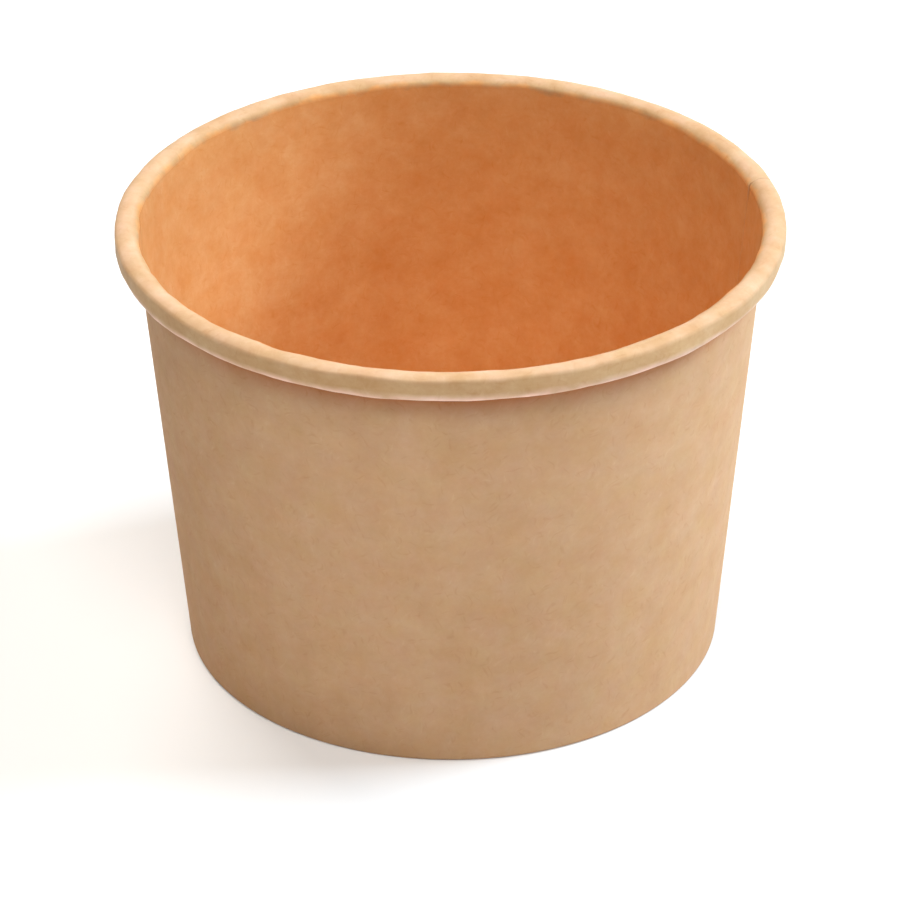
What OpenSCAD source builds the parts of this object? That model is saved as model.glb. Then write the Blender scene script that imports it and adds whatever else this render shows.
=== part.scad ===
// Paper bowl in kraft board. The side wall is one sheet with a lapped side seam, a rolled rim and a folded foot.
// The bottom disc is a second sheet, and its skirt is sealed inside the fold of the foot.
// Millimetres, +Z up. The origin is the centre of the foot on the table, and the bowl's front faces -Y.

/* [Bowl] */
// Height from the table to the top of the rim
bowl_h = 63.3; // [50:0.1:90]
// Diameter over the rolled rim
rim_d = 90; // [85:0.1:110]
// Diameter over the foot, where the line of the outer face meets the table
foot_d = 73.7; // [60:0.1:78]

/* [Board] */
// Thickness of the side wall's board
wall_t = 0.45; // [0.3:0.05:0.55]
// Thickness of the bottom disc's board
disc_t = 0.4; // [0.3:0.05:0.6]
// Clearance on each side of the skirt, filled by the heat seal
seal_gap = 0.04; // [0.02:0.01:0.1]

/* [Rolled rim] */
// Width of the roll across its section
roll_w = 3.2; // [3:0.1:4.5]
// Height of the upright flat on the roll's outer side
roll_land = 0.74; // [0.2:0.02:1.4]
// Gap between the tucked edge of the roll and the wall
roll_gap = 0.1; // [0.05:0.05:0.3]
// Length of the cut edge that is tucked up inside the roll
roll_tuck = 0.4; // [0.2:0.1:0.5]

/* [Side seam] */
// Width of the overlap, measured along the rim
seam_w = 8; // [5:0.5:14]
// Width of the ramp where the outer ply climbs onto the inner one
seam_ramp = 3; // [2:0.5:4]
// Direction of the inner ply's cut edge, in degrees anticlockwise from +X, seen from above
seam_turn = 13.7; // [-180:0.1:180]

/* [Foot] */
// Height of the hem, the part of the sheet that is folded up inside the skirt
hem_h = 6.2; // [4:0.1:6.4]
// Inside radius of the fold's two corners
fold_r = 0.06; // [0.02:0.01:0.1]

/* [Bottom disc] */
// Height of the floor inside the bowl above the table
floor_h = 7.4; // [7:0.1:14]
// Inside radius of the bend between the disc and its skirt
skirt_bend_r = 0.3; // [0.1:0.05:0.6]
// Height of the skirt's lower edge above the bottom of the slot that the fold leaves for it
skirt_rise = 0.8; // [0.3:0.1:1.5]

/* [Hidden] */
$fn = 180;
kraft_outside = "#C9A27C";
kraft_floor = "#C4946A";

// Steps in a half turn of the roll, and in a corner of a fold
roll_steps = 18;
fold_steps = 4;

rim_r = rim_d / 2;
foot_r = foot_d / 2;

// The top of the roll is an arc that the wall's inner face runs into, and that sets the wall's lean
top_r = roll_w / 2;
top_c = [rim_r - top_r, bowl_h - top_r];
lean = acos((top_r - wall_t) / norm([top_c.x - foot_r, top_c.y])) - atan2(top_c.y, top_c.x - foot_r);

// Unit steps up along the wall, and straight out of it
up = [sin(lean), cos(lean)];
out = [cos(lean), -sin(lean)];
wall_foot = [foot_r, 0] - wall_t * out;

// The lower arc of the roll starts below the upright flat, and is as wide as the wall and the gap leave room for
land_z = top_c.y - roll_land;
lip_r = ((rim_r - foot_r) * out.x + land_z * out.y - roll_gap) / (1 + out.x);
lip_c = [rim_r - lip_r, land_z];

// The fold of the foot turns at two corners, with a slot between them for the skirt and its two seals
slot_w = disc_t + 2 * seal_gap;
fold_out = fold_r + wall_t;
fold_c = behind_wall(fold_r, fold_out);
hem_c = fold_c - [(slot_w - 2 * fold_r) / out.x, 0];

// Turns about the axis for the seam's ramp and its overlap
mm_turn = 180 / (PI * (rim_r - roll_w));
ramp_turn = seam_ramp * mm_turn;
lap_turn = seam_w * mm_turn;

// How far a cutting block runs past what it cuts
past = 1;
clear = 4;

// Point on the wall's inner face at a height
function wall_at(z) = wall_foot + up * (z - wall_foot.y) / up.y;

// Point at a height and at a depth behind the wall's inner face, on the side of the bowl's axis
function behind_wall(depth, z) = wall_at(z + depth * out.y) - depth * out;

// Points of an arc about a centre, both ends included
function arc(centre, r, from, to, steps) =
    [for (i = [0 : steps]) let (a = from + (to - from) * i / steps) centre + r * [cos(a), sin(a)]];

// Points of a list in the opposite order
function reversed(points) = [for (i = [len(points) - 1 : -1 : 0]) points[i]];

// One face of the roll, at a depth in the board, from the wall over the top and round the lip to an end angle
function roll_face(depth, end) = concat(
    arc(top_c, top_r - depth, 180 - lean, 0, roll_steps),
    arc(lip_c, lip_r - depth, 0, end, roll_steps)
);

// One face of the folded foot, from the hem's cut edge round the two corners to the wall
function foot_face(depth) = concat(
    [hem_c - (fold_r + depth) * out + up * (hem_h - hem_c.y) / up.y],
    arc(hem_c, fold_r + depth, -180 - lean, -90, fold_steps),
    arc(fold_c, fold_r + depth, -90, -lean, fold_steps)
);

// Section of the side wall's sheet, from the hem up the wall and round the rolled rim
module sheet_section() {
    tuck = roll_tuck * up;
    polygon(concat(
        foot_face(0),
        roll_face(0, -180 - lean),
        [lip_c - lip_r * out + tuck, lip_c - (lip_r - wall_t) * out + tuck],
        reversed(roll_face(wall_t, -180 - lean)),
        reversed(foot_face(wall_t))
    ));
}

// Section of the outer ply where the seam overlaps. It starts halfway through the inner ply, runs down to the
// table and up round the inside of the roll.
module lap_section() {
    depth = 2 * wall_t;
    corner = behind_wall(fold_out - depth, fold_out);
    polygon(concat(
        [[(hem_c.x + fold_c.x) / 2, 0]],
        arc(corner, fold_out, -90, -lean, fold_steps),
        roll_face(depth, -90),
        reversed(roll_face(wall_t / 2, -90)),
        [fold_c + (fold_r + wall_t / 2) * out]
    ));
}

// Upright block with one slanting side, set against the wall at the seam. The slant passes through the inner
// ply's cut edge at a depth, and one board nearer the axis where the ramp starts.
module ramp_block(depth, side, ahead, from_z, to_z) {
    sag = seam_ramp * seam_ramp / (2 * rim_r);
    slope = (wall_t + sag) / seam_ramp;
    behind = seam_ramp + past;
    start = wall_at(from_z);
    rotate([0, 0, seam_turn])
        translate([start.x, 0, start.y])
            rotate([0, lean, 0])
                linear_extrude((to_z - from_z) / up.y)
                    polygon([
                        [depth + slope * ahead, ahead],
                        [depth - slope * behind, -behind],
                        [side * clear, -behind],
                        [side * clear, ahead]
                    ]);
}

// Outer ply of the seam: it climbs a ramp, lies on the inner ply and ends at its own cut edge
module seam_lap() {
    difference() {
        rotate([0, 0, seam_turn - ramp_turn])
            rotate_extrude(angle = ramp_turn + lap_turn)
                lap_section();
        ramp_block(2 * wall_t, 1, past, -past, lip_c.y - lip_r);
    }
}

// Side wall: one sheet, with its seam, rolled rim and folded foot. Inside, the outer ply lies back by one board
// beside the inner ply's cut edge, above the floor.
module sidewall() {
    color(kraft_outside)
        difference() {
            union() {
                rotate_extrude()
                    sheet_section();
                seam_lap();
            }
            ramp_block(wall_t, -1, 0, floor_h, bowl_h + clear);
        }
}

// Bottom disc: the floor, with a skirt turned down beside the wall
module bottom_disc() {
    bend_c = behind_wall(seal_gap + disc_t + skirt_bend_r, floor_h - disc_t - skirt_bend_r);
    skirt_end = up * (fold_out - fold_r + skirt_rise - bend_c.y) / up.y;
    bend_out = skirt_bend_r + disc_t;
    color(kraft_floor)
        rotate_extrude()
            polygon(concat(
                [[0, floor_h - disc_t]],
                arc(bend_c, skirt_bend_r, 90, -lean, fold_steps),
                [bend_c + skirt_bend_r * out + skirt_end, bend_c + bend_out * out + skirt_end],
                arc(bend_c, bend_out, -lean, 90, fold_steps),
                [[0, floor_h]]
            ));
}

sidewall();
bottom_disc();
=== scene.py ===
"""A kraft paper bowl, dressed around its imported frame: side wall, bottom disc and a plain studio.

Metres, +Z up, with the bowl's axis on Z and its foot on the floor. The bowl's front faces -Y.
"""

import math
from itertools import accumulate

import bmesh
import bpy
from bpy.props import FloatProperty, FloatVectorProperty, PointerProperty
from mathutils import Matrix, Vector


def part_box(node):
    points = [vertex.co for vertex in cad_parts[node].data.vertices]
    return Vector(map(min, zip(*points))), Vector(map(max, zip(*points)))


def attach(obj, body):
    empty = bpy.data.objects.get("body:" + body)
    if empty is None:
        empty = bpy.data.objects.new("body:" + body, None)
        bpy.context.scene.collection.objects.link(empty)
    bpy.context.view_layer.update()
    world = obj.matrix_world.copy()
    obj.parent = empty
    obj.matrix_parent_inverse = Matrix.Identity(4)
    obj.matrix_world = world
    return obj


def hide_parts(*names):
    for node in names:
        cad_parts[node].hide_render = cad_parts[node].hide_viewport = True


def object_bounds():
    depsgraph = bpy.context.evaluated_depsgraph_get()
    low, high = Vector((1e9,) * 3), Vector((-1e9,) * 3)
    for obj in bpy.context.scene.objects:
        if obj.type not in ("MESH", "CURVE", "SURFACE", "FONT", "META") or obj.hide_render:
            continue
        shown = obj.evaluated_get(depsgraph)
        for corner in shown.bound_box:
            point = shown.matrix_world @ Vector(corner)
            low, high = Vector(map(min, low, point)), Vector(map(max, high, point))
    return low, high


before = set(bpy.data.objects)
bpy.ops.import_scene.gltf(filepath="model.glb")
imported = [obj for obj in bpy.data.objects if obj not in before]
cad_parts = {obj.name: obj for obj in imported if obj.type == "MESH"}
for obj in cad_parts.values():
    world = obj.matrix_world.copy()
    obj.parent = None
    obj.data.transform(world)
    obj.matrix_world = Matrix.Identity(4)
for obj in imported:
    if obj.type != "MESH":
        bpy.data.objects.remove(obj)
cad_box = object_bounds()

bl_info = {
    "name": "Kraft paper bowl",
    "version": (1, 0, 0),
    "blender": (4, 5, 0),
    "location": "3D View > Sidebar > Paper bowl",
    "description": "Builds a kraft paper bowl with a rolled rim and a lapped seam, and its studio",
    "category": "Add Mesh",
}

MM = 0.001
RIM_RADIUS = cad_box[1].x
BOWL_HEIGHT = cad_box[1].z
DISC_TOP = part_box("bottom_disc")[1].z

# Fineness of the sections and of their sweep about the axis
ARC_STEP = math.radians(12)
HEM_STEPS = 3
WALL_STEPS = 24
LAND_STEPS = 3
DISC_STEPS = 12
WALL_SWEEP_STEPS = 500
DISC_SWEEP_STEPS = 241

# An edge of the mesh stays sharp from this angle on, and points closer than this are merged
SHARP_EDGE = math.radians(35)
MERGE_DISTANCE = 0.001 * MM

# Side is 0 on the coated face and 1 on the uncoated one. A face of the mesh whose side is within this of
# either belongs to it.
SAME_SIDE = 0.1

# Layers of ever finer noise in each pattern
CLOUD_LAYERS = 6.0
HUE_LAYERS = 5.0
CRAZE_LAYERS = 3.0
PATCH_LAYERS = 2.0
GRAIN_LAYERS = 2.0
RIPPLE_LAYERS = 2.0
FIBRE_BEND_LAYERS = 1.0

# Distance from a cell's middle, in cells, at which its fibre has faded out
FIBRE_EDGE = 0.5

# Power by which the painted shade under the lip fades down the wall
LINE_FADE = 2.0


def linear(hex_colour):
    """The linear red, green and blue of an sRGB hex colour."""
    parts = [int(hex_colour[i:i + 2], 16) / 255 for i in (1, 3, 5)]
    return [p / 12.92 if p <= 0.04045 else ((p + 0.055) / 1.055) ** 2.4 for p in parts]


def length(name, description, millimetres):
    """A length property with its default in millimetres."""
    return FloatProperty(name=name, description=description, default=millimetres * MM, min=0, unit="LENGTH")


def angle(name, description, degrees):
    """An angle property with its default in degrees."""
    return FloatProperty(name=name, description=description, default=math.radians(degrees), unit="ROTATION")


def colour(name, description, hex_colour):
    """A colour property with its default as an sRGB hex value."""
    return FloatVectorProperty(
        name=name, description=description, default=linear(hex_colour), min=0, max=1, size=3, subtype="COLOR"
    )


def share(name, description, value):
    """A property between nothing and one."""
    return FloatProperty(name=name, description=description, default=value, min=0, max=1, subtype="FACTOR")


def number(name, description, value):
    """A plain number's property."""
    return FloatProperty(name=name, description=description, default=value)


def power(name, description, watts):
    """A lamp's power property with its default in watts."""
    return FloatProperty(name=name, description=description, default=watts, min=0, unit="POWER")


class SheetSizes(bpy.types.PropertyGroup):
    """Sizes of the two sheets of board, their folds and the side seam."""

    foot_radius: length("Foot radius", "Radius where the outer face's line meets the table", 36.85)
    wall_board: length("Wall board", "Thickness of the side wall's board", 0.45)
    disc_board: length("Disc board", "Thickness of the bottom disc's board", 0.4)
    seal_gap: length("Seal gap", "Space on each side of the skirt that the heat seal fills", 0.04)
    hem_height: length("Hem height", "Height of the part that is folded up inside the skirt", 6.2)
    fold_radius: length("Fold radius", "Inside radius of the two corners of the foot's fold", 0.06)
    skirt_bend: length("Skirt bend", "Inside radius of the bend between the disc and its skirt", 0.3)
    skirt_rise: length("Skirt rise", "Height of the skirt's lower edge above the bottom of its slot", 0.8)
    seam_width: length("Seam width", "Width of the overlap, measured along the rim", 8)
    seam_ramp: length("Seam ramp", "Width over which the outer ply climbs onto the inner one", 10)
    seam_turn: angle("Seam direction", "Direction of the inner ply's cut edge, anticlockwise from +X", 13.7)
    seam_seal: length("Seam seal", "Thickness of the sealed film between the plies", 0.015)
    seam_press: share("Seam press", "Share of the board pressed away at the inner ply's cut edge", 0.95)
    bend_press: share("Bend press", "The same share where the wall bends into the roll", 0.7)
    press_blend: length("Press blend", "Height above the disc over which that pressing sets in", 5)


class RollSizes(bpy.types.PropertyGroup):
    """Sizes of the rolled rim's section, and of its small irregularities."""

    width: length("Roll width", "Width of the roll across its section", 3.2)
    slack: length("Slack", "Room that the roll leaves for its irregularities inside the rim's radius", 0.06)
    sink: length("Sink", "Depth of the roll's crown below the highest point of the CAD's rounder roll", 0.2)
    crown: length("Crown radius", "Radius of the roll's flattened top", 2.5)
    crown_reach: length("Crown reach", "Distance from the middle of the crown to the roll's outer side", 1.4)
    bend: length("Bend radius", "Radius of the bend from the wall into the crown", 0.9)
    corner: length("Corner radius", "Radius of the outer corner below the crown", 0.6)
    land: length("Land", "Height of the upright flat on the roll's outer side", 1.35)
    lip: length("Lip radius", "Radius of the curve below the upright flat", 1.7)
    lip_end: angle("Lip end", "Direction where the lip's curve hands over to the tighter one", -55)
    gap: length("Gap", "Gap between the tucked edge and the wall", 0.1)
    tuck: length("Tuck", "Length of the cut edge that is tucked up inside the roll", 0.4)
    least_bend: length("Least bend", "Least radius of the board's hidden face inside a bend", 0.03)
    blend: length("Blend", "Height below the bend over which the wall takes up the roll's irregularities", 3)
    wall_ripple: share("Wall ripple", "Share of the ripple that is left on the plain wall", 0.15)
    bend_reach: length("Bend reach", "Distance over which the bend hands over to the crown", 0.55)
    bend_ripple: share("Bend ripple", "Further share of the ripple in the bend into the roll", 1.0)
    # Painted highlight: these two set where the film is paled on the lip and the crown, standing in for its
    # reflection of the white room and floor.
    lip_highlight: length("Lip craze", "Drop below the upright flat over which the lip's film whitens", 1.1)
    crown_highlight: share("Crown craze", "Whitening of the film on the crown, against the lip's", 0.26)
    ripple: length("Ripple", "How far the roll's surface wanders in and out", 0.1)
    ripple_length: length("Ripple length", "Distance along the rim from one ripple to the next", 5)
    ripple_grain: share("Ripple grain", "How fast the ripple changes across the roll, against along it", 0.8)
    twist: angle("Twist", "How far the roll's section turns one way and the other along the rim", 12)
    twist_length: length("Twist length", "Distance along the rim from one twist to the next", 14)
    seed: number("Seed", "Chooses the pattern of ripples and twists", 1.0)


class BoardFinish(bpy.types.PropertyGroup):
    """Colours and textures of the kraft board's faces."""

    outside: colour("Uncoated face", "Colour of the board's uncoated outer face", "#C59D78")
    inside: colour("Coated face", "Colour of the board's coated face inside the bowl", "#D99D63")
    roll: colour("Roll", "Colour of the coated face where it is rolled", "#BF9A70")
    # Painted highlight: the film's colour where the painted highlight is strongest.
    highlighted: colour("Whitened film", "Colour of the coated face where its film is whitened most", "#E6C0A8")
    craze: length("Craze", "Distance from the wall into the bend over which the film pales", 0.85)
    craze_wander: length("Craze wander", "How far the start of the paler film wanders across the sheet", 0.8)
    craze_wave: length("Craze wave", "Distance from one of those wanders to the next", 3.5)
    # Patches in which the painted highlight is stronger or weaker.
    highlight_patch: length("White patch", "Size of the patches in which the film whitens more or less", 4)
    highlight_change: share("White change", "How far the whitening wanders from patch to patch", 0.9)
    cut_edge: colour("Cut edge", "Colour of the board where it is cut", "#C8A47C")
    cloud: share("Cloudiness", "How far the density of the fibres wanders", 0.065)
    cloud_size: length("Cloud size", "Size of the largest patches of denser fibre", 6.5)
    cloud_roughness: share("Cloud roughness", "Strength of each finer layer against the last", 0.75)
    coated_contrast: number("Coated contrast", "Cloudiness under the film, against the uncoated face", 1.85)
    coated_hue: share("Coated hue", "How far the hue wanders under the film, against the uncoated face", 0.5)
    hue_size: length("Hue size", "Size of the largest patches of pinkish, greenish or yellowish brown", 5)
    red_hue: share("Red hue", "How far the share of red wanders", 0.022)
    blue_hue: share("Blue hue", "How far the share of blue wanders", 0.055)
    fibre_length: length("Fibre length", "Length of the cell round one fibre", 2.0)
    fibre_width: length("Fibre width", "Width of the cell round one fibre", 0.5)
    fibre_bend: length("Fibre bend", "How far a fibre is bent sideways", 1.2)
    fibre_curve: length("Fibre curve", "Distance over which a fibre bends one way", 3)
    dark_fibre: share("Dark fibre", "Added density of the darkest fibre", 0.1)
    light_fibre: share("Light fibre", "Missing density of the lightest fibre", 0.06)
    bare_share: share("Bare share", "Share of the cells that show no fibre", 0.8)
    # Painted shade: a darker, redder band of the wall just under the roll, where the lip shades the wall and
    # light bounces red between them.
    line: colour("Line", "Colour of the line that the curling tool's warm wax leaves on the wall", "#AA6942")
    line_top: length("Line top", "Height at which that line is darkest", 58.5)
    line_width: length("Line width", "How far that line fades down the wall", 4.2)
    grain: length("Grain", "Height of the bumps on the board's faces", 0.005)
    grain_size: length("Grain size", "Distance from one bump to the next", 0.33)
    uncoated_gloss: share("Uncoated gloss", "Strength of the uncoated face's reflections", 0.04)
    coated_gloss: share("Coated gloss", "Strength of the smooth film's reflections", 0.62)
    uncoated_roughness: share("Uncoated roughness", "Roughness of the uncoated face", 0.72)
    crazed_gloss: share("Crazed gloss", "Strength of the crazed film's reflections", 0.12)
    coated_roughness: share("Coated roughness", "Roughness of the smooth film", 0.25)
    crazed_roughness: share("Crazed roughness", "Roughness of the crazed film", 0.55)


class StudioSettings(bpy.types.PropertyGroup):
    """Camera, lamps and floor."""

    camera_distance: length("Camera distance", "Distance from the camera to the point it looks at", 638.6)
    camera_height: length("Aim height", "Height of the point that the camera looks at", 26.7)
    camera_elevation: angle("Camera elevation", "Angle of the view above the horizontal", 30.24)
    camera_roll: angle("Camera roll", "Turn of the camera about its line of sight", 0.376)
    lens: number("Lens", "Focal length in millimetres", 185.3)
    shift: number("Shift", "Sideways shift of the frame", -0.00214)
    lamp_distance: length("Lamp distance", "Distance from each lamp to the point the camera looks at", 1200)
    lamp_size: length("Lamp size", "Width of each lamp's soft box", 500)
    key_power: power("Key", "Power of the key lamp, low on the right", 18.2)
    key_turn: angle("Key direction", "Direction of the key lamp, anticlockwise from +X", 10)
    key_elevation: angle("Key elevation", "Angle of the key lamp above the horizontal", 35)
    key_colour: colour("Key colour", "Colour of the key lamp's cool white", "#E0F1FF")
    front_power: power("Front", "Power of the lamp high above the front", 8.8)
    front_turn: angle("Front direction", "Direction of the front lamp, anticlockwise from +X", -90)
    back_power: power("Back", "Power of the lamp high above the left back", 10.2)
    back_turn: angle("Back direction", "Direction of the back lamp, anticlockwise from +X", 118)
    high_elevation: angle("High elevation", "Angle of the front and back lamps above the horizontal", 60)
    fill_colour: colour("Fill colour", "Colour of the front and back lamps' warm white", "#FFFAF3")
    sky: number("Sky", "Strength of the even light from all round", 0.03)
    floor_size: length("Floor size", "Width of the floor", 4000)
    floor_drop: length("Floor drop", "Depth of the floor below the bowl's foot", 0.02)
    floor_colour: colour("Floor colour", "Colour of the floor", "#F0F0F0")
    floor_gloss: share("Floor gloss", "Strength of the floor's reflections", 0.1)
    floor_roughness: share("Floor roughness", "Roughness of the floor", 0.9)
    floor_glow: share("Floor glow", "Share of white that the camera sees in the floor", 0.15)
    glow_strength: number("Glow strength", "Strength of that white", 1.2)


GROUPS = {
    "paper_bowl_sheets": SheetSizes,
    "paper_bowl_roll": RollSizes,
    "paper_bowl_finish": BoardFinish,
    "paper_bowl_studio": StudioSettings,
}


def add(tree, kind, inputs=None, output=0, **settings):
    """Adds a node with its settings, links or sets its inputs, and returns one output, or all for None."""
    node = tree.nodes.new(kind)
    for name, value in settings.items():
        setattr(node, name, value)
    for key, value in (inputs or {}).items():
        if isinstance(value, bpy.types.NodeSocket):
            tree.links.new(value, node.inputs[key])
        else:
            node.inputs[key].default_value = value
    return node.outputs if output is None else node.outputs[output]


# Sections of the sheets, in the plane of radius and height

def direction(turn):
    """The unit vector at an angle from the outward radius."""
    return Vector((math.cos(turn), math.sin(turn)))


def arc(centre, radius, start, end):
    """Points of an arc, both ends included."""
    steps = math.ceil(abs(end - start) / ARC_STEP)
    return [centre + radius * direction(start + (end - start) * i / steps) for i in range(steps + 1)]


def ramp(value, start, end):
    """Rises evenly from 0 at the start to 1 at the end, and stays there."""
    return min(max((value - start) / (end - start), 0), 1)


def straight(start, end, steps):
    """Points between two others, neither of them included."""
    return [start.lerp(end, i / steps) for i in range(1, steps)]


class SheetShape:
    """Where the centres of the side wall's folds and arcs lie, worked out from the sizes."""

    def __init__(self, sheets, roll):
        self.sheets = sheets
        self.roll = roll
        side = RIM_RADIUS - roll.slack

        # The crown of the roll is an arc that passes into a bend on the wall's side and a corner on the other
        self.top = Vector((side - roll.crown_reach, BOWL_HEIGHT - roll.sink - roll.crown))
        bend_side = roll.width - roll.crown_reach - roll.bend
        self.bend_turn = math.acos(-bend_side / (roll.crown - roll.bend))
        self.bend = self.top + (roll.crown - roll.bend) * direction(self.bend_turn)
        self.corner_turn = math.acos((roll.crown_reach - roll.corner) / (roll.crown - roll.corner))
        self.corner = self.top + (roll.crown - roll.corner) * direction(self.corner_turn)

        # The wall leans so that its faces run from the foot into the bend
        foot = Vector((sheets.foot_radius, 0))
        reach = self.bend - foot
        self.lean = math.acos((roll.bend - sheets.wall_board) / reach.length) - math.atan2(reach.y, reach.x)
        self.up = Vector((math.sin(self.lean), math.cos(self.lean)))
        self.out = direction(-self.lean)
        self.wall_foot = foot - sheets.wall_board * self.out

        # The lip's last curve is as wide as the wall and the gap leave room for
        self.lip = Vector((side - roll.lip, self.corner.y - roll.land))
        facing = direction(roll.lip_end)
        across = facing.dot(self.out)
        self.under_radius = ((self.lip - foot).dot(self.out) + roll.lip * across - roll.gap) / (1 + across)
        self.under = self.lip + (roll.lip - self.under_radius) * facing

        # The foot's fold turns at two corners, with a slot between them for the skirt and its two seals
        slot = sheets.disc_board + 2 * sheets.seal_gap
        fold_out = sheets.fold_radius + sheets.wall_board
        self.fold = self.behind_wall(sheets.fold_radius, fold_out)
        self.hem = self.fold - Vector(((slot - 2 * sheets.fold_radius) / self.out.x, 0))

    def wall_at(self, height):
        """Point on the wall's coated face at a height."""
        return self.wall_foot + self.up * ((height - self.wall_foot.y) / self.up.y)

    def behind_wall(self, depth, height):
        """Point at a height and at a depth behind the coated face, on the side of the axis."""
        return self.wall_at(height + depth * self.out.y) - depth * self.out

    def hem_face(self, depth):
        """One face of the hem, from its cut edge round the inner corner of the foot."""
        radius = self.sheets.fold_radius + depth
        edge = self.hem - radius * self.out + self.up * ((self.sheets.hem_height - self.hem.y) / self.up.y)
        corner = arc(self.hem, radius, -math.pi - self.lean, -math.pi / 2)
        return [edge, *straight(edge, corner[0], HEM_STEPS), *corner]

    def wall_face(self, depth):
        """One face of the wall, from the foot's outer corner up to the roll, round it and into its tuck."""
        roll = self.roll
        foot = arc(self.fold, self.sheets.fold_radius + depth, -math.pi / 2, -self.lean)
        crown = arc(self.bend, max(roll.bend - depth, roll.least_bend), math.pi - self.lean, self.bend_turn)
        crown += arc(self.top, roll.crown - depth, self.bend_turn, self.corner_turn)[1:]
        crown += arc(self.corner, max(roll.corner - depth, roll.least_bend), self.corner_turn, 0)[1:]
        lip = arc(self.lip, roll.lip - depth, 0, roll.lip_end)
        lip += arc(self.under, self.under_radius - depth, roll.lip_end, -math.pi - self.lean)[1:]
        wall = straight(foot[-1], crown[0], WALL_STEPS)
        land = straight(crown[-1], lip[0], LAND_STEPS)
        return [*foot, *wall, *crown, *land, *lip, lip[-1] + roll.tuck * self.up]


def side_wall_section(shape):
    """The side wall's closed section, whose points carry what the sweep and the finish need to know.

    lap is the step onto the outer ply, pressed the share of the board that is pressed away at the seam, and
    press the step that does this from behind. twist is the step for one radian of the roll's turn, and ripple
    the way that the surface wanders. along is the distance along the sheet, side is 0 on the coated face and
    1 on the uncoated one, past_wall is the distance along the sheet from the top of the wall, and the last
    says how far a painted highlight pales the film on the crown and lip.
    """
    sheets, roll = shape.sheets, shape.roll
    board = sheets.wall_board
    sealed_board = board + sheets.seam_seal
    depths = (0, board, 2 * board)
    coated, uncoated, outer = (shape.hem_face(depth) + shape.wall_face(depth) for depth in depths)
    hem_points = len(shape.hem_face(0))
    along = [0.0, *accumulate((b - a).length for a, b in zip(coated, coated[1:]))]
    roll_start = next(distance for distance, point in zip(along, coated) if point.y > shape.bend.y)
    roll_centre = Vector((shape.top.x, shape.corner.y - roll.land / 2))
    rows = []
    for face, ply, side in ((coated, uncoated, 0.0), (uncoated, outer, 1.0)):
        for i, point in enumerate(face):
            rolled = ramp(along[i], roll_start - roll.blend, roll_start)
            past_wall = along[i] - roll_start
            past_bend = ramp(past_wall, roll.bend_reach, 2 * roll.bend_reach)
            in_bend = ramp(past_wall, -roll.bend_reach, 0) - past_bend
            pressed = sheets.seam_press + (sheets.bend_press - sheets.seam_press) * in_bend
            pressed *= ramp(point.y, DISC_TOP, DISC_TOP + sheets.press_blend)
            on_crown = roll.crown_highlight * ramp(point.y, shape.corner.y, shape.corner.y + roll.corner)
            on_lip = ramp(point.y, shape.lip.y, shape.lip.y - roll.lip_highlight)
            rippled = roll.wall_ripple + (1 - roll.wall_ripple) * rolled + roll.bend_ripple * in_bend
            lap = (ply[i] - point) * (sealed_board / board)
            if point.y < DISC_TOP:
                # In the foot the outer ply steps sideways instead, so that it stays above the table
                lap = Vector((-sealed_board if i < hem_points else sealed_board, sheets.seam_seal))
            arm = point - roll_centre
            across = (coated[i] - uncoated[i]).normalized() * min(point.y / DISC_TOP, 1)
            rows.append({
                "point": point,
                "lap": lap,
                "pressed": pressed,
                "press": (coated[i] - point) * pressed,
                "twist": Vector((-arm.y, arm.x)) * rolled,
                "ripple": across * rippled,
                "along": along[i],
                "side": side,
                "past_wall": past_wall,
                # Painted highlight: how far the film is paled on the crown and lip, standing in for its
                # reflection of the white room and floor.
                "highlighted": past_bend * max(on_crown, on_lip),
            })
    half = len(coated)
    return section_mesh("side_wall_section", rows[:half] + rows[:half - 1:-1], closed=True)


def disc_section(shape):
    """The bottom disc's section, open at the axis.

    Its points carry along, side and past_wall, as the side wall's do. The disc counts as a whole bowl's
    height below the top of the wall, so that its film has no craze.
    """
    sheets = shape.sheets
    bend_out = sheets.skirt_bend + sheets.disc_board
    bend = shape.behind_wall(sheets.seal_gap + bend_out, DISC_TOP - bend_out)
    slot_floor = shape.fold.y - sheets.fold_radius
    drop = shape.up * ((slot_floor + sheets.skirt_rise - bend.y) / shape.up.y)
    faces = []
    for radius, height in ((bend_out, DISC_TOP), (sheets.skirt_bend, DISC_TOP - sheets.disc_board)):
        middle = Vector((0, height))
        corner = arc(bend, radius, math.pi / 2, -shape.lean)
        faces.append([middle, *straight(middle, corner[0], DISC_STEPS), *corner, corner[-1] + drop])
    coated, uncoated = faces
    rows = []
    for side, face in ((0.0, coated), (1.0, reversed(uncoated))):
        for point in face:
            rows.append({"point": point, "along": point.x, "side": side, "past_wall": -BOWL_HEIGHT})
    return section_mesh("disc_section", rows, closed=False)


def section_mesh(name, rows, closed):
    """A mesh of edges through the rows' points, with their other values as attributes."""
    edges = [(i, i + 1) for i in range(len(rows) - 1)]
    if closed:
        edges.append((len(rows) - 1, 0))
    mesh = bpy.data.meshes.new(name)
    mesh.from_pydata([(row["point"].x, 0, row["point"].y) for row in rows], edges, [])
    for key, first in rows[0].items():
        if key == "point":
            continue
        if isinstance(first, Vector):
            layer = mesh.attributes.new(key, "FLOAT_VECTOR", "POINT")
            layer.data.foreach_set("vector", [part for row in rows for part in (row[key].x, 0, row[key].y)])
        else:
            layer = mesh.attributes.new(key, "FLOAT", "POINT")
            layer.data.foreach_set("value", [row[key] for row in rows])
    return mesh


# Geometry Nodes: a section of board turned about the bowl's axis

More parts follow.
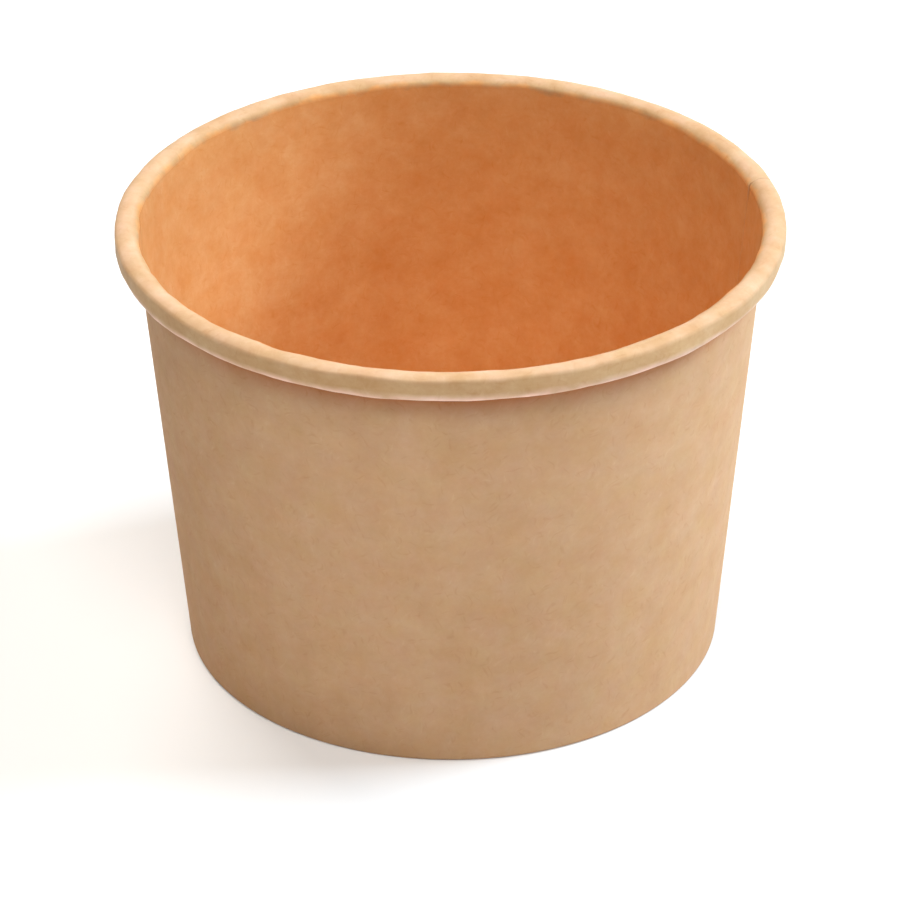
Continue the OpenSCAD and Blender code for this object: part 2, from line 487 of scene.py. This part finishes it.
TREE_INPUTS = (
    ("Start", "Float", 0.0),
    ("Sweep", "Float", 2 * math.pi),
    ("Steps", "Int", DISC_SWEEP_STEPS),
    ("Lies Flat", "Bool", False),
    ("Radius", "Float", 1.0),
    ("Ramp", "Float", 1.0),
    ("Ripple", "Float", 0.0),
    ("Ripple Length", "Float", 1.0),
    ("Ripple Grain", "Float", 0.0),
    ("Twist", "Float", 0.0),
    ("Twist Length", "Float", 1.0),
    ("Seed", "Float", 0.0),
    ("Coated", "Material", None),
    ("Crazed", "Material", None),
    ("Uncoated", "Material", None),
    ("Cut Edge", "Material", None),
)
POINT_VALUES = {
    "section": "FLOAT_VECTOR",
    "lap": "FLOAT_VECTOR",
    "pressed": "FLOAT",
    "press": "FLOAT_VECTOR",
    "twist": "FLOAT_VECTOR",
    "ripple": "FLOAT_VECTOR",
    "along": "FLOAT",
    "side": "FLOAT",
    "past_wall": "FLOAT",
    "turn": "FLOAT",
}

# The film's finish reads this one of those values, so it stays on the finished mesh
CRAZE_VALUE = "past_wall"


def turned_board_tree():
    """Turns a section about Z, lets its end climb onto its start, and lets the roll wander a little."""
    tree = bpy.data.node_groups.new("Turned board", "GeometryNodeTree")
    tree.interface.new_socket("Geometry", in_out="INPUT", socket_type="NodeSocketGeometry")
    for name, kind, default in TREE_INPUTS:
        socket = tree.interface.new_socket(name, in_out="INPUT", socket_type="NodeSocket" + kind)
        if default is not None:
            socket.default_value = default
    tree.interface.new_socket("Geometry", in_out="OUTPUT", socket_type="NodeSocketGeometry")
    given = add(tree, "NodeGroupInput", output=None)
    held = {
        name: add(tree, "GeometryNodeInputNamedAttribute", {"Name": name}, "Attribute", data_type=data_type)
        for name, data_type in POINT_VALUES.items()
    }
    board = swept_section(tree, given)
    sunk, thin = seam_amounts(tree, given, held)
    twist = wander(tree, given, held, "Twist", (0, 0, 0))
    ripple = wander(tree, given, held, "Ripple", given["Ripple Grain"])
    place = held["section"]
    for step, amount in (("lap", sunk), ("press", thin), ("twist", twist), ("ripple", ripple)):
        place = add(
            tree, "ShaderNodeVectorMath", {0: held[step], 1: amount, 2: place}, operation="MULTIPLY_ADD"
        )
    place = add(
        tree, "ShaderNodeVectorRotate", {"Vector": place, "Angle": held["turn"]}, rotation_type="Z_AXIS"
    )
    board = add(tree, "GeometryNodeSetPosition", {"Geometry": board, "Position": place})
    board = texture_layout(tree, board, given, held)
    board = add(tree, "GeometryNodeMergeByDistance", {"Geometry": board, "Distance": MERGE_DISTANCE})
    bent = add(tree, "GeometryNodeInputMeshEdgeAngle", output="Unsigned Angle")
    gentle = add(tree, "ShaderNodeMath", {0: bent, 1: SHARP_EDGE}, operation="LESS_THAN")
    board = add(
        tree, "GeometryNodeSetShadeSmooth", {"Geometry": board, "Shade Smooth": gentle}, domain="EDGE"
    )
    board = add(tree, "GeometryNodeRealizeInstances", {"Geometry": board})
    board = face_finishes(tree, board, given, held)
    add(tree, "NodeGroupOutput", {"Geometry": board}, output=None)
    return tree


def swept_section(tree, given):
    """Sweeps the section along a straight path, whose points know how far the board has turned."""
    profile = add(tree, "GeometryNodeMeshToCurve", {"Mesh": given["Geometry"]})
    position = add(tree, "GeometryNodeInputPosition")
    profile = add(
        tree, "GeometryNodeStoreNamedAttribute", {"Geometry": profile, "Name": "section", "Value": position},
        data_type="FLOAT_VECTOR",
    )
    path = add(tree, "GeometryNodeCurvePrimitiveLine", {"End": (0, 0, 1)})
    path = add(tree, "GeometryNodeResampleCurve", {"Curve": path, "Count": given["Steps"]}, mode="COUNT")
    factor = add(tree, "GeometryNodeSplineParameter", output="Factor")
    turn = add(
        tree, "ShaderNodeMath", {0: factor, 1: given["Sweep"], 2: given["Start"]}, operation="MULTIPLY_ADD"
    )
    path = add(
        tree, "GeometryNodeStoreNamedAttribute", {"Geometry": path, "Name": "turn", "Value": turn},
        data_type="FLOAT",
    )
    return add(tree, "GeometryNodeCurveToMesh", {"Curve": path, "Profile Curve": profile, "Fill Caps": True})


def seam_amounts(tree, given, held):
    """How far the sheet's end has climbed onto its start at the seam, and how far the start is pressed thin.

    Where the start is thinner, the end sinks behind it by what is missing.
    """
    lap_start = add(tree, "ShaderNodeMath", {0: given["Start"], 1: 2 * math.pi}, operation="ADD")
    ramp_start = add(tree, "ShaderNodeMath", {0: lap_start, 1: given["Ramp"]}, operation="SUBTRACT")
    lapped = add(
        tree, "ShaderNodeMapRange", {"Value": held["turn"], "From Min": ramp_start, "From Max": lap_start},
        interpolation_type="SMOOTHSTEP",
    )
    thin_end = add(tree, "ShaderNodeMath", {0: given["Start"], 1: given["Ramp"]}, operation="ADD")
    one_turn_back = add(tree, "ShaderNodeMath", {0: held["turn"], 1: 2 * math.pi}, operation="SUBTRACT")
    thin, thin_in_front = (
        add(
            tree, "ShaderNodeMapRange",
            {"Value": place, "From Min": given["Start"], "From Max": thin_end, "To Min": 1.0, "To Max": 0.0},
        )
        for place in (held["turn"], one_turn_back)
    )
    room = add(tree, "ShaderNodeMath", {0: held["pressed"], 1: thin_in_front}, operation="MULTIPLY")
    room = add(tree, "ShaderNodeMath", {0: 1.0, 1: room}, operation="SUBTRACT")
    sunk = add(tree, "ShaderNodeMath", {0: lapped, 1: room}, operation="MULTIPLY")
    return sunk, thin


def wander(tree, given, held, kind, grain):
    """Noise that closes on itself round the rim, for the roll's twist or the board's ripple."""
    per_wave = add(tree, "ShaderNodeMath", {0: 1.0, 1: given[kind + " Length"]}, operation="DIVIDE")
    on_rim = add(tree, "ShaderNodeCombineXYZ", {"X": given["Radius"]})
    on_rim = add(
        tree, "ShaderNodeVectorRotate", {"Vector": on_rim, "Angle": held["turn"]}, rotation_type="Z_AXIS"
    )
    spot = add(
        tree, "ShaderNodeVectorMath", {0: held["section"], 1: grain, 2: on_rim}, operation="MULTIPLY_ADD"
    )
    spot = add(tree, "ShaderNodeVectorMath", {0: spot, "Scale": per_wave}, operation="SCALE")
    noise = add(
        tree, "ShaderNodeTexNoise",
        {"Vector": spot, "W": given["Seed"], "Scale": 1.0, "Detail": RIPPLE_LAYERS},
        noise_dimensions="4D", normalize=False,
    )
    return add(tree, "ShaderNodeMath", {0: noise, 1: given[kind]}, operation="MULTIPLY")


def texture_layout(tree, board, given, held):
    """Lays the texture on the sheet as if it were flat: unrolled, or seen from above where it lies flat."""
    unrolled = add(tree, "ShaderNodeMath", {0: held["turn"], 1: given["Radius"]}, operation="MULTIPLY")
    unrolled = add(tree, "ShaderNodeCombineXYZ", {"X": unrolled, "Y": held["along"]})
    position = add(tree, "GeometryNodeInputPosition")
    flat = add(
        tree, "GeometryNodeSwitch", {"Switch": given["Lies Flat"], "False": unrolled, "True": position},
        input_type="VECTOR",
    )
    return add(
        tree, "GeometryNodeStoreNamedAttribute", {"Geometry": board, "Name": "UVMap", "Value": flat},
        data_type="FLOAT2", domain="CORNER",
    )


def face_finishes(tree, board, given, held):
    """Gives each face its material. A face between the two sides of the sheet is a cut edge."""
    board = add(tree, "GeometryNodeSetMaterial", {"Geometry": board, "Material": given["Cut Edge"]})
    coated = add(tree, "ShaderNodeMath", {0: held["side"], 1: SAME_SIDE}, operation="LESS_THAN")
    uncoated = add(tree, "ShaderNodeMath", {0: held["side"], 1: 1 - SAME_SIDE}, operation="GREATER_THAN")
    bent_film = add(tree, "ShaderNodeMath", {0: held[CRAZE_VALUE], 1: 0.0}, operation="GREATER_THAN")
    crazed = add(tree, "ShaderNodeMath", {0: coated, 1: bent_film}, operation="MULTIPLY")
    for material, faces in (("Coated", coated), ("Crazed", crazed), ("Uncoated", uncoated)):
        board = add(
            tree, "GeometryNodeSetMaterial",
            {"Geometry": board, "Selection": faces, "Material": given[material]},
        )
    return board


def turned_board(name, section, values):
    """Turns a section with the Geometry Nodes tree, and returns the result as a plain mesh object."""
    tree = bpy.data.node_groups.get("Turned board") or turned_board_tree()
    board = bpy.data.objects.new(name, section)
    bpy.context.scene.collection.objects.link(board)
    modifier = board.modifiers.new("Turned board", "NODES")
    modifier.node_group = tree
    for socket in tree.interface.items_tree:
        if socket.in_out == "INPUT" and socket.name in values:
            modifier[socket.identifier] = values[socket.name]
    evaluated = board.evaluated_get(bpy.context.evaluated_depsgraph_get())
    mesh = bpy.data.meshes.new_from_object(evaluated)
    board.modifiers.remove(modifier)
    board.data = mesh
    mesh.name = name
    if not mesh.polygons:
        raise RuntimeError(f"{name} came out empty")
    shell = bmesh.new()
    shell.from_mesh(mesh)
    bmesh.ops.recalc_face_normals(shell, faces=shell.faces)
    shell.to_mesh(mesh)
    shell.free()
    for attribute in POINT_VALUES:
        layer = mesh.attributes.get(attribute)
        if layer and attribute != CRAZE_VALUE:
            mesh.attributes.remove(layer)
    return board


# Materials

# Each kind of fibre lies about one direction, in degrees, and adds or takes away density. The direction also
# shifts its pattern, so that no two kinds share their cells.
FIBRE_KINDS = ((20, "dark_fibre", 1), (110, "dark_fibre", 1), (65, "light_fibre", -1))


def kraft_board(name, base, finish, gloss, roughness, coated=False, shaded_under_lip=False):
    """Kraft board of unbleached fibre, made on a paper machine.

    To the eye it is matt and warm brown, cloudy where the fibres lie denser, with faint darker and paler
    fibres lying every way. A coated face has a thin glossy film on it, so it is deeper in colour and mirrors
    the white room at a slant. The film is crazed where the rim is rolled, which makes it duller and about as
    pale as the uncoated face. A painted highlight pales it further in patches on the crown and most of all on
    the lip, standing in for the film's reflection of the white room and floor. A painted shade makes a
    darker, redder band on the uncoated wall just below the roll.
    """
    material = bpy.data.materials.new(name)
    material.use_nodes = True
    tree = material.node_tree
    shader = tree.nodes["Principled BSDF"]
    sheet = add(tree, "ShaderNodeUVMap", uv_map="UVMap")

    # The patterns lie on the sheet in millimetres
    spot = add(tree, "ShaderNodeVectorMath", {0: sheet, "Scale": 1 / MM}, operation="SCALE")
    density = fibre_density(tree, spot, finish, finish.coated_contrast if coated else 1)
    changes = []
    if coated:
        changes = film_changes(tree, spot, finish, base)
    if shaded_under_lip:
        # Painted shade: the uncoated wall gets a darker, redder band just below the roll.
        changes = under_lip_shade_changes(tree, finish, base)
    tone = base
    for amount, before, after in changes:
        step = [b - a for a, b in zip(before, after)]
        tone = add(tree, "ShaderNodeVectorMath", {0: amount, 1: step, 2: tone}, operation="MULTIPLY_ADD")
    hue = wandering_hue(tree, spot, finish, finish.coated_hue if coated else 1)
    tone = add(tree, "ShaderNodeVectorMath", {0: tone, 1: hue}, operation="MULTIPLY")
    tone = add(tree, "ShaderNodeGamma", {"Color": tone, "Gamma": density})
    tree.links.new(tone, shader.inputs["Base Color"])

    grain = add(
        tree, "ShaderNodeTexNoise",
        {"Vector": spot, "Scale": MM / finish.grain_size, "Detail": GRAIN_LAYERS},
    )
    bump = add(tree, "ShaderNodeBump", {"Height": grain, "Distance": finish.grain})
    tree.links.new(bump, shader.inputs["Normal"])
    shader.inputs["Roughness"].default_value = roughness
    shader.inputs["Specular IOR Level"].default_value = gloss
    return material


def fibre_density(tree, spot, finish, contrast):
    """1 for plain board, and more where more fibres lie on top of each other, which deepens the colour.

    Fibres are cells of a stretched pattern, bent by a slow noise. Only some cells show one.
    """
    cloud = add(
        tree, "ShaderNodeTexNoise",
        {"Vector": spot, "Scale": MM / finish.cloud_size, "Detail": CLOUD_LAYERS,
         "Roughness": finish.cloud_roughness},
        normalize=False,
    )
    cloud_depth = finish.cloud * contrast
    density = add(tree, "ShaderNodeMath", {0: cloud, 1: cloud_depth, 2: 1.0}, operation="MULTIPLY_ADD")
    bend = add(
        tree, "ShaderNodeTexNoise",
        {"Vector": spot, "Scale": MM / finish.fibre_curve, "Detail": FIBRE_BEND_LAYERS},
        "Color", normalize=False,
    )
    reach = [finish.fibre_bend / MM] * 3
    bent = add(tree, "ShaderNodeVectorMath", {0: bend, 1: reach, 2: spot}, operation="MULTIPLY_ADD")
    cell_size = (finish.fibre_length / MM, finish.fibre_width / MM, 1.0)
    for degrees, strength, sign in FIBRE_KINDS:
        cells = add(
            tree, "ShaderNodeMapping",
            {"Vector": bent, "Location": (degrees, 0, 0), "Rotation": (0, 0, math.radians(degrees)),
             "Scale": cell_size},
            vector_type="TEXTURE",
        )
        cell = add(
            tree, "ShaderNodeTexVoronoi", {"Vector": cells, "Scale": 1.0}, output=None,
            voronoi_dimensions="2D",
        )
        body = add(
            tree, "ShaderNodeMapRange", {"Value": cell["Distance"], "From Min": FIBRE_EDGE, "From Max": 0.0},
            interpolation_type="SMOOTHSTEP",
        )
        chance = add(tree, "ShaderNodeSeparateColor", {"Color": cell["Color"]}, "Red")
        shown = add(tree, "ShaderNodeMapRange", {"Value": chance, "From Min": finish.bare_share})
        fibre = add(tree, "ShaderNodeMath", {0: body, 1: shown}, operation="MULTIPLY")
        density = add(
            tree, "ShaderNodeMath", {0: fibre, 1: sign * getattr(finish, strength), 2: density},
            operation="MULTIPLY_ADD",
        )
    return density


def film_changes(tree, spot, finish, base):
    """Changes of the film's colour, as their amount and the colours before and after.

    It pales past a wandering border at the top of the wall, and a painted highlight pales it on the crown and
    lip.
    """
    border = add(
        tree, "ShaderNodeTexNoise",
        {"Vector": spot, "Scale": MM / finish.craze_wave, "Detail": CRAZE_LAYERS},
        normalize=False,
    )
    past_wall = add(tree, "ShaderNodeAttribute", output="Fac", attribute_name=CRAZE_VALUE)
    past_border = add(
        tree, "ShaderNodeMath", {0: border, 1: finish.craze_wander, 2: past_wall},
        operation="MULTIPLY_ADD",
    )
    crazed = add(tree, "ShaderNodeMapRange", {"Value": past_border, "From Max": finish.craze})
    # Painted highlight: paler film in patches on the crown and lip, standing in for its reflection of the
    # white room and floor.
    highlighted = add(tree, "ShaderNodeAttribute", output="Fac", attribute_name="highlighted")
    patch = add(
        tree, "ShaderNodeTexNoise",
        {"Vector": spot, "Scale": MM / finish.highlight_patch, "Detail": PATCH_LAYERS},
        normalize=False,
    )
    patch = add(
        tree, "ShaderNodeMath", {0: patch, 1: finish.highlight_change, 2: 1.0}, operation="MULTIPLY_ADD"
    )
    highlighted = add(tree, "ShaderNodeMath", {0: highlighted, 1: patch}, operation="MULTIPLY")
    return [(crazed, base, finish.roll), (highlighted, finish.roll, finish.highlighted)]


def under_lip_shade_changes(tree, finish, base):
    """The painted shade under the lip, as its amount and the colours before and after."""
    solid = add(tree, "ShaderNodeTexCoord", output="Object")
    height = add(tree, "ShaderNodeSeparateXYZ", {0: solid}, "Z")
    below_lip = add(
        tree, "ShaderNodeMapRange",
        {"Value": height, "From Min": finish.line_top - finish.line_width, "From Max": finish.line_top},
    )
    below_lip = add(tree, "ShaderNodeMath", {0: below_lip, 1: LINE_FADE}, operation="POWER")
    return [(below_lip, base, finish.line)]


def wandering_hue(tree, spot, finish, strength):
    """Factors for a colour that wander between a pinkish, a greenish and a yellowish brown."""
    hue = add(
        tree, "ShaderNodeTexNoise",
        {"Vector": spot, "Scale": MM / finish.hue_size, "Detail": HUE_LAYERS,
         "Roughness": finish.cloud_roughness},
        "Color", normalize=False,
    )
    reach = (strength * finish.red_hue, 0, strength * finish.blue_hue)
    return add(tree, "ShaderNodeVectorMath", {0: hue, 1: reach, 2: (1, 1, 1)}, operation="MULTIPLY_ADD")


def board_materials(finish):
    """The finishes of the board's faces, by the names of the tree's inputs. Both sheets share them."""
    bare = {"gloss": finish.uncoated_gloss, "roughness": finish.uncoated_roughness}
    film = {"gloss": finish.coated_gloss, "roughness": finish.coated_roughness, "coated": True}
    crazed = {"gloss": finish.crazed_gloss, "roughness": finish.crazed_roughness, "coated": True}
    faces = {
        "Coated": ("film_coated_kraft", finish.inside, film),
        "Crazed": ("crazed_film_kraft", finish.inside, crazed),
        "Uncoated": ("uncoated_kraft", finish.outside, {**bare, "shaded_under_lip": True}),
        "Cut Edge": ("cut_kraft", finish.cut_edge, bare),
    }
    return {
        face: bpy.data.materials.get(name) or kraft_board(name, base, finish, **surface)
        for face, (name, base, surface) in faces.items()
    }


class BOWL_OT_side_wall(bpy.types.Operator):
    """Build the side wall: one sheet with a lapped seam, a rolled rim and a folded foot"""

    bl_idname = "bowl.side_wall"
    bl_label = "Side wall"

    def execute(self, context):
        scene = context.scene
        sheets, roll = scene.paper_bowl_sheets, scene.paper_bowl_roll
        radius = RIM_RADIUS - roll.width
        values = {
            "Start": sheets.seam_turn,
            "Sweep": 2 * math.pi + sheets.seam_width / radius,
            "Steps": WALL_SWEEP_STEPS,
            "Radius": radius,
            "Ramp": sheets.seam_ramp / radius,
            "Ripple": roll.ripple,
            "Ripple Length": roll.ripple_length,
            "Ripple Grain": roll.ripple_grain,
            "Twist": roll.twist,
            "Twist Length": roll.twist_length,
            "Seed": roll.seed,
            **board_materials(scene.paper_bowl_finish),
        }
        wall = turned_board("side_wall", side_wall_section(SheetShape(sheets, roll)), values)
        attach(wall, "root")
        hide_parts("sidewall")
        return {"FINISHED"}


class BOWL_OT_bottom_disc(bpy.types.Operator):
    """Build the bottom disc: the floor, with its skirt turned down"""

    bl_idname = "bowl.bottom_disc"
    bl_label = "Bottom disc"

    def execute(self, context):
        scene = context.scene
        shape = SheetShape(scene.paper_bowl_sheets, scene.paper_bowl_roll)
        values = {"Lies Flat": True, **board_materials(scene.paper_bowl_finish)}
        disc = turned_board("bottom_disc_board", disc_section(shape), values)
        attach(disc, "root")
        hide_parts("bottom_disc")
        return {"FINISHED"}


def soft_box(studio, name, turn, elevation, watts, tint):
    """A square area lamp that points at the place the camera looks at.

    Reflections don't show it, because the film mirrors the white room instead.
    """
    lamp = bpy.data.lights.new(name, "AREA")
    lamp.size = studio.lamp_size
    lamp.energy = watts
    lamp.color = tint
    level = math.cos(elevation)
    way = Vector((math.cos(turn) * level, math.sin(turn) * level, math.sin(elevation)))
    obj = bpy.data.objects.new(name, lamp)
    obj.visible_glossy = False
    obj.location = Vector((0, 0, studio.camera_height)) + studio.lamp_distance * way
    obj.rotation_euler = way.to_track_quat("Z", "Y").to_euler()
    bpy.context.scene.collection.objects.link(obj)


def studio_camera(studio):
    """The camera at the photo's angle, with the photo's slight roll."""
    rise = studio.camera_elevation
    forward = Vector((0, math.cos(rise), -math.sin(rise)))
    level, above = Vector((1, 0, 0)), Vector((0, math.sin(rise), math.cos(rise)))
    cosine, sine = math.cos(studio.camera_roll), math.sin(studio.camera_roll)
    right, up = level * cosine - above * sine, level * sine + above * cosine
    camera = bpy.data.objects.new("camera", bpy.data.cameras.new("camera"))
    camera.data.lens = studio.lens
    camera.data.shift_x = studio.shift
    turn = Matrix((right, up, -forward)).transposed().to_4x4()
    aim = Vector((0, 0, studio.camera_height))
    camera.matrix_world = Matrix.Translation(aim - forward * studio.camera_distance) @ turn
    bpy.context.scene.collection.objects.link(camera)
    return camera


def studio_floor(studio):
    """A large matt floor, which takes the bowl's shadow and runs into the white background."""
    half, height = studio.floor_size / 2, -studio.floor_drop
    corners = [(-half, -half, height), (half, -half, height), (half, half, height), (-half, half, height)]
    mesh = bpy.data.meshes.new("floor")
    mesh.from_pydata(corners, [], [(0, 1, 2, 3)])
    floor = bpy.data.objects.new("floor", mesh)
    bpy.context.scene.collection.objects.link(floor)
    mesh.materials.append(matt_white_sweep(studio))
    return floor


def matt_white_sweep(studio):
    """Matt white paper off a roll, as under a product.

    Only the camera sees it paler than the light makes it, so that it runs into the white background.
    """
    material = bpy.data.materials.new("matt_white_sweep")
    material.use_nodes = True
    tree = material.node_tree
    shader = tree.nodes["Principled BSDF"]
    shader.inputs["Base Color"].default_value = (*studio.floor_colour, 1)
    shader.inputs["Roughness"].default_value = studio.floor_roughness
    shader.inputs["Specular IOR Level"].default_value = studio.floor_gloss
    glow = add(tree, "ShaderNodeEmission", {"Strength": studio.glow_strength})
    seen = add(tree, "ShaderNodeLightPath", output="Is Camera Ray")
    shown = add(tree, "ShaderNodeMath", {0: seen, 1: studio.floor_glow}, operation="MULTIPLY")
    mixed = add(tree, "ShaderNodeMixShader", {0: shown, 1: shader.outputs[0], 2: glow})
    tree.links.new(mixed, tree.nodes["Material Output"].inputs["Surface"])
    return material


def white_room(studio):
    """White to the camera and in reflections, but only a faint even light on the bowl."""
    world = bpy.data.worlds.new("white_room")
    world.use_nodes = True
    tree = world.node_tree
    rays = add(tree, "ShaderNodeLightPath", output=None)
    shown = rays["Is Camera Ray"]
    for kind in ("Is Glossy Ray", "Is Transmission Ray"):
        shown = add(tree, "ShaderNodeMath", {0: shown, 1: rays[kind]}, operation="MAXIMUM")
    strength = add(tree, "ShaderNodeMapRange", {"Value": shown, "To Min": studio.sky, "To Max": 1.0})
    background = tree.nodes["Background"]
    background.inputs["Color"].default_value = (1, 1, 1, 1)
    tree.links.new(strength, background.inputs["Strength"])
    return world


class BOWL_OT_studio(bpy.types.Operator):
    """Build the studio: camera, lamps, floor and white surroundings"""

    bl_idname = "bowl.studio"
    bl_label = "Studio"

    def execute(self, context):
        scene = context.scene
        studio = scene.paper_bowl_studio
        high, warm = studio.high_elevation, studio.fill_colour
        soft_box(studio, "key", studio.key_turn, studio.key_elevation, studio.key_power, studio.key_colour)
        soft_box(studio, "front", studio.front_turn, high, studio.front_power, warm)
        soft_box(studio, "back", studio.back_turn, high, studio.back_power, warm)
        scene.camera = studio_camera(studio)
        studio_floor(studio)
        scene.world = white_room(studio)
        scene.view_settings.view_transform = "Standard"
        return {"FINISHED"}


OPERATORS = (BOWL_OT_side_wall, BOWL_OT_bottom_disc, BOWL_OT_studio)


class BOWL_PT_paper_bowl(bpy.types.Panel):
    """Sizes and finishes of the bowl, and the steps that build it"""

    bl_label = "Paper bowl"
    bl_idname = "BOWL_PT_paper_bowl"
    bl_space_type = "VIEW_3D"
    bl_region_type = "UI"
    bl_category = "Paper bowl"

    def draw(self, context):
        for group, kind in GROUPS.items():
            box = self.layout.box()
            for name in kind.__annotations__:
                box.prop(getattr(context.scene, group), name)
        for operator in OPERATORS:
            self.layout.operator(operator.bl_idname)


def register():
    for kind in (*GROUPS.values(), *OPERATORS, BOWL_PT_paper_bowl):
        bpy.utils.register_class(kind)
    for group, kind in GROUPS.items():
        setattr(bpy.types.Scene, group, PointerProperty(type=kind))


def unregister():
    for group in GROUPS:
        delattr(bpy.types.Scene, group)
    for kind in reversed((*GROUPS.values(), *OPERATORS, BOWL_PT_paper_bowl)):
        bpy.utils.unregister_class(kind)


def main():
    register()
    bpy.ops.bowl.side_wall()
    bpy.ops.bowl.bottom_disc()
    bpy.ops.bowl.studio()
    bpy.context.view_layer.update()


if __name__ == "__main__":
    main()
